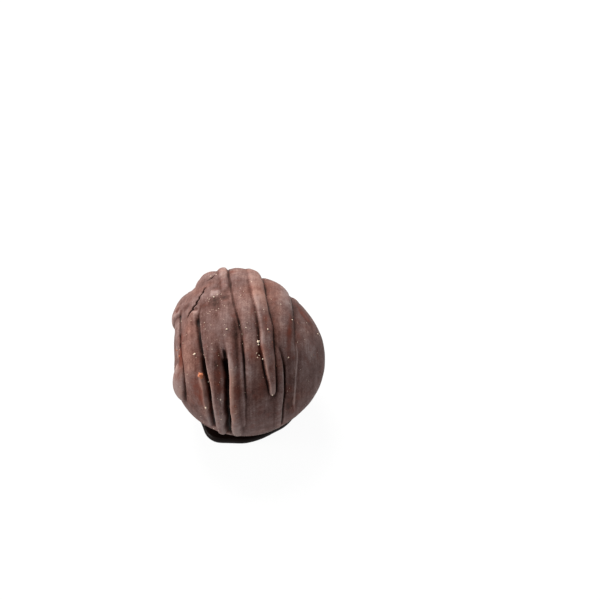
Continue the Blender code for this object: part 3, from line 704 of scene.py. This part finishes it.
# %% The foot's mesh
def pooled_foot():
    """The foot as rings of its profile, closed in the middle above and below."""
    bm = bmesh.new()
    rings = []
    for inwards, height in foot_profile():
        ring = []
        for step in range(FOOT_STEPS):
            turn = 2 * math.pi * step / FOOT_STEPS
            reach = foot_radius(math.degrees(turn)) - inwards
            place = (math.cos(turn), math.sin(turn), height)
            waver = 1 + FOOT_WAVER * noise.noise(Vector(place) * FOOT_WAVER_SCALE)
            x = place[0] * reach * waver - middle[0]
            y = place[1] * reach * waver - middle[1]
            ring.append(bm.verts.new((x * MM, y * MM, height * MM)))
        rings.append(ring)
    for lower, upper in zip(rings[:-1], rings[1:]):
        for step in range(FOOT_STEPS):
            after = (step + 1) % FOOT_STEPS
            bm.faces.new((lower[step], lower[after], upper[after], upper[step]))
    bm.faces.new(reversed(rings[0]))
    bm.faces.new(rings[-1])
    bmesh.ops.recalc_face_normals(bm, faces=bm.faces)
    return bm


foot = new_object("pooled_foot", pooled_foot())
print("foot:", triangles(foot), "triangles, box mm", [round(x * 1000, 1) for x in foot.dimensions])

# %% [markdown]
# ## Crumbs
#
# Crumbs of nut and oat stick to the chocolate: a few are up to 1.4 mm wide, and many are only
# specks. Each is a real chip of its own size, half sunk in the surface, and chips of one colour are
# one mesh.

# %% Chips on the surface
Crumb = namedtuple("Crumb", "round_ across size")

# Pale crumbs of nut that stand out: (round, across, width in mm).
PALE_CRUMBS = [Crumb(*crumb) for crumb in (
    (41.4, -35, 0.8), (64, -26.4, 0.5), (84.5, -26.1, 0.6), (25, -10.7, 0.5), (33.2, 10, 0.9),
    (35.2, 10.3, 0.6), (45.1, 13.3, 0.5), (41, 9, 0.3), (42.5, 10.8, 0.35), (44, 9.6, 0.3),
    (72, 19.8, 0.45), (24.6, 16, 0.4), (23.9, 1.8, 0.35), (11.8, 34.6, 0.4), (1.5, 25.2, 0.35),
    (44.2, 32.1, 0.4), (-2.1, -19.9, 0.5), (-3.2, -17.6, 0.3), (-3.7, -15.3, 0.35),
    (-31, -22.6, 0.45), (-33, -19, 0.35), (-1.2, -2, 0.35), (-2.4, 66.8, 0.5),
    (74.5, -15.4, 0.4),
)]
# Toasted crumbs, orange-brown.
TOASTED_CRUMBS = [Crumb(*crumb) for crumb in (
    (57.9, -29.8, 1.4), (59.5, -29.0, 1.0), (56.4, -30.9, 0.5), (36, -56, 0.6), (43, -52, 0.6),
)]
CHIP_SQUASH = (0.6, 1.0)  # each of a chip's three directions is squeezed to between these shares
CHIP_UNEVENNESS = (0.8, 1.15)  # each corner moves in or out to between these shares
CHIP_SEED = 7
rng = np.random.default_rng(CHIP_SEED)


def add_chip(bm, crumb, detail):
    """One uneven chip, half sunk in the surface, turned at random."""
    outwards = direction(crumb.across, crumb.round_)
    reach = surface_radius(outwards[None, :])[0]
    place = outwards * reach + (-middle[0], -middle[1], CENTRE_HEIGHT)
    made = bmesh.ops.create_icosphere(bm, subdivisions=detail, radius=crumb.size * MM / 2)
    turned = Matrix.Rotation(rng.uniform(0, math.tau), 3, Vector(rng.normal(size=3)))
    squash = Matrix.Diagonal(Vector(rng.uniform(*CHIP_SQUASH, size=3)))
    for vert in made["verts"]:
        vert.co *= rng.uniform(*CHIP_UNEVENNESS)
    bmesh.ops.transform(bm, matrix=(turned @ squash).to_4x4(), verts=made["verts"])
    bmesh.ops.translate(bm, vec=Vector(place) * MM, verts=made["verts"])


# %% The crumbs that stand out
CRUMB_DETAIL = 2  # a chip of detail 1 has 20 faces, and each step more cuts every face into 4


def crumbs(name, places, detail):
    """All chips of one kind as one object."""
    bm = bmesh.new()
    for crumb in places:
        add_chip(bm, crumb, detail)
    made = new_object(name, bm)
    made.data.shade_flat()
    print(name + ":", len(places), "chips,", triangles(made), "triangles")
    return made


pale = crumbs("pale_crumbs", PALE_CRUMBS, CRUMB_DETAIL)
toasted = crumbs("toasted_crumbs", TOASTED_CRUMBS, CRUMB_DETAIL)

# %% Specks
Dusting = namedtuple("Dusting", "round_from round_to across_from across_to count")

# Where specks lie thickest.
PALE_DUSTINGS = [Dusting(*dusting) for dusting in (
    (-5, 45, -30, -12, 55), (-50, 70, -5, 22, 45), (-40, 110, 20, 60, 25),
    (40, 115, -18, -14, 20), (45, 120, -9, -3, 25), (0, 90, -55, -38, 15),
    (-140, 130, -75, 75, 70),
)]
TOASTED_DUSTINGS = [Dusting(*dusting) for dusting in (
    (50, 112, -17.5, -13.5, 30), (45, 112, -9, -3, 20), (20, 75, 12, 21, 15),
    (-140, 130, -75, 75, 40),
)]
SPECK_SIZES = (0.1, 0.26)  # mm
SPECK_SHRINK = (0.7, 1.0)  # makes small ones more common
SPECK_DETAIL = 1


def specks(name, dustings):
    """Specks spread evenly at random over each dusting's patch, as one object."""
    places = []
    for dusting in dustings:
        for _ in range(dusting.count):
            round_at = rng.uniform(dusting.round_from, dusting.round_to)
            across_at = rng.uniform(dusting.across_from, dusting.across_to)
            size = rng.uniform(*SPECK_SIZES) * rng.uniform(*SPECK_SHRINK)
            places.append(Crumb(round_at, across_at, size))
    return crumbs(name, places, SPECK_DETAIL)


pale_specks = specks("pale_specks", PALE_DUSTINGS)
toasted_specks = specks("toasted_specks", TOASTED_DUSTINGS)

# %% [markdown]
# ## Colours and the node helper
#
# Colours are picked as sRGB hex values, the way a paint chip or a screen shows them, but a shader
# works in linear light. One function turns the one into the other. One more function adds a node
# with its settings and its links, so that each material below reads like a list.

# %% Helpers for the materials
# A Mix node has sockets of the same name for numbers and colours, so its two colours and the
# mixed one are found by number.
MIX_A, MIX_B, MIXED = 6, 7, 2


def colour(hex_value):
    """An sRGB hex colour as linear red, green, blue and alpha, by the sRGB standard's curve."""
    channels = [int(hex_value[start:start + 2], 16) / 255 for start in (1, 3, 5)]
    linear = [c / 12.92 if c <= 0.04045 else ((c + 0.055) / 1.055) ** 2.4 for c in channels]
    return (*linear, 1.0)


def add_node(material, kind, settings=None, links=None, **choices):
    """Add a node, make its choices, set its sockets' values and link its sockets to other outputs."""
    tree = material.node_tree
    added = tree.nodes.new(kind)
    for choice, value in choices.items():
        setattr(added, choice, value)
    for socket, value in (settings or {}).items():
        added.inputs[socket].default_value = value
    for socket, output in (links or {}).items():
        tree.links.new(output, added.inputs[socket])
    return added


def new_material(name):
    """A material with its Principled shader, and that shader's node."""
    material = bpy.data.materials.new(name)
    material.use_nodes = True
    return material, material.node_tree.nodes["Principled BSDF"]


def per_metre(millimetres):
    """The scale of a noise whose features are that wide, for coordinates in metres."""
    return 1000.0 / millimetres


# %% [markdown]
# ## Bloomed dark chocolate
#
# The real finish is dark chocolate, poured and set in the air without tempering, so cocoa butter
# came out on it as a dull, pinkish-grey bloom. To the eye it is a dark red-brown under a thin
# uneven grey veil: thick on crests, thin in furrows and on red patches, mottled at 5 mm and at
# 1 mm, drawn out in streaks along the strands, and finely speckled. Furrows, hollows and flanks that
# face away from the light are also darkened with painted shade, and crests lightened a little.
# Chocolate's IOR is near 1.5.
# Bare it is smoother, and the fat crystals of the bloom make it rough. Over some 7 mm the bloom
# drifts between grey and the brown of cocoa that shows through.

# %% Where the bloom lies, and the painted shade
MOTTLE_WIDE = 5.0  # mm
MOTTLE_FINE = 1.1  # mm
SPECKLE = 0.32  # mm
STREAK_WIDTH = 0.5  # mm
STREAK_LENGTH = 7.0  # mm
BLOOM_BASE = 0.66  # how much of the veil there is on a plain, level place

chocolate, shader = new_material("bloomed_chocolate_with_painted_shade")
where = add_node(chocolate, "ShaderNodeTexCoord").outputs["Object"]


def fact(name):
    """The output of a node that reads one of the marks on the mesh."""
    return add_node(chocolate, "ShaderNodeAttribute", attribute_name=name).outputs["Fac"]


def mottle(size, detail, seed):
    """Noise with features of the given size in mm, from 0 to 1."""
    moved = add_node(chocolate, "ShaderNodeVectorMath", {1: (seed, seed, seed)}, {0: where})
    settings = {"Scale": per_metre(size), "Detail": detail, "Roughness": 0.6}
    return add_node(chocolate, "ShaderNodeTexNoise", settings, {"Vector": moved.outputs[0]}).outputs[0]


def sum_of(*terms):
    """Weighted outputs added up: each term is (output, weight, what counts as nothing)."""
    total = None
    for output, weight, nothing in terms:
        shifted = add_node(chocolate, "ShaderNodeMath", {1: nothing}, {0: output}, operation="SUBTRACT")
        links = {0: shifted.outputs[0]}
        if total is not None:
            links[2] = total
        settings = {1: weight, 2: 0.0}
        added = add_node(chocolate, "ShaderNodeMath", settings, links, operation="MULTIPLY_ADD")
        total = added.outputs[0]
    return total


streak_scale = (per_metre(STREAK_WIDTH), per_metre(STREAK_LENGTH), per_metre(STREAK_LENGTH))
drawn_out = add_node(chocolate, "ShaderNodeVectorMath", {1: streak_scale}, {0: where}, operation="MULTIPLY")
streak_settings = {"Scale": 1.0, "Detail": 2.0, "Roughness": 0.5}
streaks = add_node(chocolate, "ShaderNodeTexNoise", streak_settings, {"Vector": drawn_out.outputs[0]})
wide_mottle = mottle(MOTTLE_WIDE, 3.0, 0.1)
fine_mottle = mottle(MOTTLE_FINE, 4.0, 0.2)
speckle = mottle(SPECKLE, 2.0, 0.3)
# The flank patches, furrows and hollows lower it: partly thinner bloom, partly painted shade.
bloom_and_shade = sum_of(
    (wide_mottle, 0.6, 0.5),
    (fine_mottle, 0.45, 0.5),
    (speckle, 0.5, 0.5),
    (streaks.outputs[0], 0.35, 0.5),
    (fact("paleness"), 0.2, 0.0),
    (fact("painted_flank_shade"), -0.2, 0.0),
    (fact("furrow_less_bloom_and_shade"), -1.1, 0.0),
    (fact("hollow_less_bloom_and_shade"), -0.38, 0.0),
    (fact("redness"), -0.5, 0.0),
)
bloom_and_shade = add_node(chocolate, "ShaderNodeMath", {1: BLOOM_BASE}, {0: bloom_and_shade}, operation="ADD").outputs[0]
print("bloom made from", len(chocolate.node_tree.nodes), "nodes")

# %% The colours under and in the bloom
CHOCOLATE_BLOOM_AND_SHADE_COLOURS = (
    # The darkest stop, reached deep in grooves and hollows, is bare chocolate with painted shade.
    (0.0, "#150a07"),  # bare chocolate deep in a groove
    (0.25, "#2c1811"),  # bare chocolate in the light
    (0.5, "#4a302a"),  # a thin veil
    (0.75, "#624943"),  # an even bloom
    (1.0, "#7d665f"),  # thick bloom
)
RED_BROWN = "#5a2c21"
RED_MOTTLE = 2.6  # mm
RED_LIMIT = 0.85  # the most that the red-brown hides of what is under it
# What the bloom does to red, green and blue where it is greyest, and where cocoa shows through.
COOL_TINT = (0.95, 1.03, 1.11, 1.0)
WARM_TINT = (1.10, 0.94, 0.88, 1.0)
WARM_MOTTLE = 7.0  # mm

ramp = add_node(chocolate, "ShaderNodeValToRGB", None, {"Fac": bloom_and_shade})
while len(ramp.color_ramp.elements) < len(CHOCOLATE_BLOOM_AND_SHADE_COLOURS):
    ramp.color_ramp.elements.new(0.5)
for stop, (place, hex_value) in zip(ramp.color_ramp.elements, CHOCOLATE_BLOOM_AND_SHADE_COLOURS):
    stop.position = place
    stop.color = colour(hex_value)

warm_share = sum_of((fact("warmth"), 1.1, 0.0), (mottle(WARM_MOTTLE, 2.0, 0.5), 2.6, 0.46))
warm_share = add_node(chocolate, "ShaderNodeClamp", None, {"Value": warm_share})
tints = {MIX_A: COOL_TINT, MIX_B: WARM_TINT}
tint = add_node(chocolate, "ShaderNodeMix", tints, {0: warm_share.outputs[0]}, data_type="RGBA")
links = {MIX_A: ramp.outputs[0], MIX_B: tint.outputs[MIXED]}
tinted = add_node(chocolate, "ShaderNodeMix", {0: 1.0}, links, data_type="RGBA", blend_type="MULTIPLY")
red_share = sum_of((fact("redness"), 1.5, 0.1), (mottle(RED_MOTTLE, 4.0, 0.4), 2.4, 0.5))
red_share = add_node(chocolate, "ShaderNodeClamp", {"Max": RED_LIMIT}, {"Value": red_share})
links = {0: red_share.outputs[0], MIX_A: tinted.outputs[MIXED]}
reddened = add_node(chocolate, "ShaderNodeMix", {MIX_B: colour(RED_BROWN)}, links, data_type="RGBA")

# %% Roughness and grain
BARE_ROUGHNESS = 0.5
BLOOM_ROUGHNESS = 0.75
GRAIN = 0.25  # mm, fat crystals and cocoa grit: really near 0.03 mm, drawn as coarse as it needs to show
GRAIN_RELIEF = 0.03  # mm
PORE = 0.6  # mm
CHOCOLATE_IOR = 1.5
CHOCOLATE_SPECULAR = 0.08  # 0.5 is that of a polished piece, and this finish has next to no shine

between = {"To Min": BARE_ROUGHNESS, "To Max": BLOOM_ROUGHNESS}
roughness = add_node(chocolate, "ShaderNodeMapRange", between, {"Value": bloom_and_shade})
relief = sum_of((mottle(GRAIN, 3.0, 0.5), 1.0, 0.5), (mottle(PORE, 2.0, 0.6), 1.2, 0.5))
grit = {"Strength": 1.0, "Distance": GRAIN_RELIEF * MM}
bump = add_node(chocolate, "ShaderNodeBump", grit, {"Height": relief})
tree = chocolate.node_tree
tree.links.new(reddened.outputs[MIXED], shader.inputs["Base Color"])
tree.links.new(roughness.outputs[0], shader.inputs["Roughness"])
tree.links.new(bump.outputs[0], shader.inputs["Normal"])
shader.inputs["IOR"].default_value = CHOCOLATE_IOR
shader.inputs["Specular IOR Level"].default_value = CHOCOLATE_SPECULAR
ball.data.materials.append(chocolate)
print("chocolate:", len(tree.nodes), "nodes")

# %% [markdown]
# ## The foot's chocolate
#
# The same chocolate, but it set against the sheet and out of the air, so it has no bloom. It is
# nearly black, partly as bare chocolate and partly with painted shade from the ball above it, and a
# little smoother than the shell.

# %% Bare chocolate, darkened with painted shade
FOOT_ROUGHNESS = (0.35, 0.5)
FOOT_MOTTLE = 2.0  # mm
FOOT_RELIEF = 0.02  # mm
# Both colours are bare chocolate darkened with painted shade from the ball above it.
FOOT_DARK_WITH_SHADE = "#080302"
FOOT_LIGHTER_WITH_SHADE = "#140806"

bare, shader = new_material("bare_chocolate_with_painted_shade")
where_on_foot = add_node(bare, "ShaderNodeTexCoord").outputs["Object"]
settings = {"Scale": per_metre(FOOT_MOTTLE), "Detail": 4.0, "Roughness": 0.55}
uneven = add_node(bare, "ShaderNodeTexNoise", settings, {"Vector": where_on_foot}).outputs[0]
shades = {MIX_A: colour(FOOT_DARK_WITH_SHADE), MIX_B: colour(FOOT_LIGHTER_WITH_SHADE)}
shade = add_node(bare, "ShaderNodeMix", shades, {0: uneven}, data_type="RGBA")
between = {"To Min": FOOT_ROUGHNESS[0], "To Max": FOOT_ROUGHNESS[1]}
gloss = add_node(bare, "ShaderNodeMapRange", between, {"Value": uneven})
ripples = {"Strength": 1.0, "Distance": FOOT_RELIEF * MM}
ripple = add_node(bare, "ShaderNodeBump", ripples, {"Height": uneven})
bare.node_tree.links.new(shade.outputs[MIXED], shader.inputs["Base Color"])
bare.node_tree.links.new(gloss.outputs[0], shader.inputs["Roughness"])
bare.node_tree.links.new(ripple.outputs[0], shader.inputs["Normal"])
shader.inputs["IOR"].default_value = CHOCOLATE_IOR
shader.inputs["Specular IOR Level"].default_value = CHOCOLATE_SPECULAR
foot.data.materials.append(bare)
print("foot's chocolate:", len(bare.node_tree.nodes), "nodes")

# %% [markdown]
# ## Nut crumbs
#
# Blanched nut is a warm ivory, toasted nut an orange-brown. Both are dry and rough, and their
# colour varies from chip to chip and within one.

# %% Nut
NUT_MOTTLE = 0.3  # mm
NUT_ROUGHNESS = 0.7
NUT_IOR = 1.47  # that of nut oil


def nut(name, dark, light):
    """A dry, mottled nut colour."""
    material, shader = new_material(name)
    place = add_node(material, "ShaderNodeTexCoord").outputs["Object"]
    settings = {"Scale": per_metre(NUT_MOTTLE), "Detail": 3.0}
    varied = add_node(material, "ShaderNodeTexNoise", settings, {"Vector": place})
    shades = {MIX_A: colour(dark), MIX_B: colour(light)}
    tint = add_node(material, "ShaderNodeMix", shades, {0: varied.outputs[0]}, data_type="RGBA")
    material.node_tree.links.new(tint.outputs[MIXED], shader.inputs["Base Color"])
    shader.inputs["Roughness"].default_value = NUT_ROUGHNESS
    shader.inputs["IOR"].default_value = NUT_IOR
    return material


blanched = nut("blanched_nut", "#a08670", "#f0dfc8")
roasted = nut("toasted_nut", "#6e2f18", "#be7650")
for piece in (pale, pale_specks):
    piece.data.materials.append(blanched)
for piece in (toasted, toasted_specks):
    piece.data.materials.append(roasted)
print("two nut finishes")

# %% [markdown]
# ## What each piece stands for
#
# The imported model holds the ball as one solid. All pieces here ride on its one body and stand for
# that solid.

# %% Pieces on the frame
for piece in (ball, foot, pale, toasted, pale_specks, toasted_specks):
    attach(piece, "root")
    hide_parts("protein_ball")
print("six pieces ride on the frame")

# %% [markdown]
# ## Floor, light and camera
#
# The ball stands on a plain white sheet in a light tent. A large soft light above and behind it
# gives the form, a weaker one low on the left lifts that side, the tent's walls fill the shadows,
# and the sheet glows, so that it stays white right up to the foot. Far back a real sheet curves up.
# A white band low in the tent stands for that, so that no horizon shows.

# %% The floor
FLOOR_SIZE = 20.0  # m
FLOOR_GLOW = 0.95
FLOOR_COLOUR = "#3a3a3a"  # dark, because the glow alone makes it nearly white
FLOOR_ROUGHNESS = 0.9
WHITE = (1.0, 1.0, 1.0, 1.0)

bm = bmesh.new()
bmesh.ops.create_grid(bm, x_segments=1, y_segments=1, size=FLOOR_SIZE / 2)
floor = new_object("floor", bm)
sheet, shader = new_material("white_sheet")
shader.inputs["Base Color"].default_value = colour(FLOOR_COLOUR)
shader.inputs["Roughness"].default_value = FLOOR_ROUGHNESS
shader.inputs["Specular IOR Level"].default_value = 0.0
shader.inputs["Emission Color"].default_value = WHITE
shader.inputs["Emission Strength"].default_value = FLOOR_GLOW
floor.data.materials.append(sheet)
print("floor", FLOOR_SIZE, "m wide")

# %% The lights
TENT_LIGHT = 0.56  # strength of the even light from all sides
WARM = (1.0, 0.95, 0.9)
COOL = (0.87, 0.95, 1.0, 1.0)
SHEET_TOP = (0.06, 0.14)  # where the white band starts to fade and ends, as sines of the rise
KEY_LIGHT = (Vector((-0.14, 0.38, 0.60)), 0.35, 10.5)  # place and size in m, power in W
SIDE_LIGHT = (Vector((-0.66, -0.08, 0.22)), 0.25, 5.0)


def soft_light(name, place, size, power):
    """A square area light that looks at the ball."""
    lamp = bpy.data.lights.new(name, "AREA")
    lamp.size = size
    lamp.energy = power
    lamp.color = WARM
    made = bpy.data.objects.new(name, lamp)
    made.location = place
    aim = Vector((0.0, 0.0, CENTRE_HEIGHT * MM)) - made.location
    made.rotation_euler = aim.to_track_quat("-Z", "Y").to_euler()
    bpy.context.scene.collection.objects.link(made)


soft_light("key_light", *KEY_LIGHT)
soft_light("side_light", *SIDE_LIGHT)
world = bpy.data.worlds.new("light_tent")
world.use_nodes = True
towards_tent = add_node(world, "ShaderNodeTexCoord").outputs["Generated"]
height = add_node(world, "ShaderNodeSeparateXYZ", None, {0: towards_tent}).outputs[2]
above_sheet = add_node(world, "ShaderNodeMapRange", {1: SHEET_TOP[0], 2: SHEET_TOP[1]}, {0: height})
whites = {MIX_A: WHITE, MIX_B: [channel * TENT_LIGHT for channel in COOL]}
tent = add_node(world, "ShaderNodeMix", whites, {0: above_sheet.outputs[0]}, data_type="RGBA")
world.node_tree.links.new(tent.outputs[MIXED], world.node_tree.nodes["Background"].inputs["Color"])
bpy.context.scene.world = world
bpy.context.scene.view_settings.view_transform = "Standard"
print("two soft lights and the tent")

# %% The camera
CAMERA_DISTANCE = 400.0  # mm
CAMERA_RISE = 45.0  # degrees above the floor
CAMERA_LENS = 96.0  # mm, on the default sensor 36 mm wide
CAMERA_ASIDE = (13.5, 14.0)  # mm right of and above the line to the ball's centre

rise = math.radians(CAMERA_RISE)
right = Vector((1.0, 0.0, 0.0))
up = Vector((0.0, math.sin(rise), math.cos(rise)))
back = Vector((0.0, -math.cos(rise), math.sin(rise)))
centre = Vector((-middle[0], -middle[1], CENTRE_HEIGHT))
stand = centre + right * CAMERA_ASIDE[0] + up * CAMERA_ASIDE[1] + back * CAMERA_DISTANCE
camera = bpy.data.objects.new("camera", bpy.data.cameras.new("camera"))
camera.data.lens = CAMERA_LENS
camera.data.clip_start = 0.01  # m
camera.matrix_world = Matrix.Translation(stand * MM) @ Matrix((right, up, back)).transposed().to_4x4()
bpy.context.scene.collection.objects.link(camera)
bpy.context.scene.camera = camera
print("camera", round(CAMERA_DISTANCE), "mm from the ball")

# %% The end
print("the scene is built")
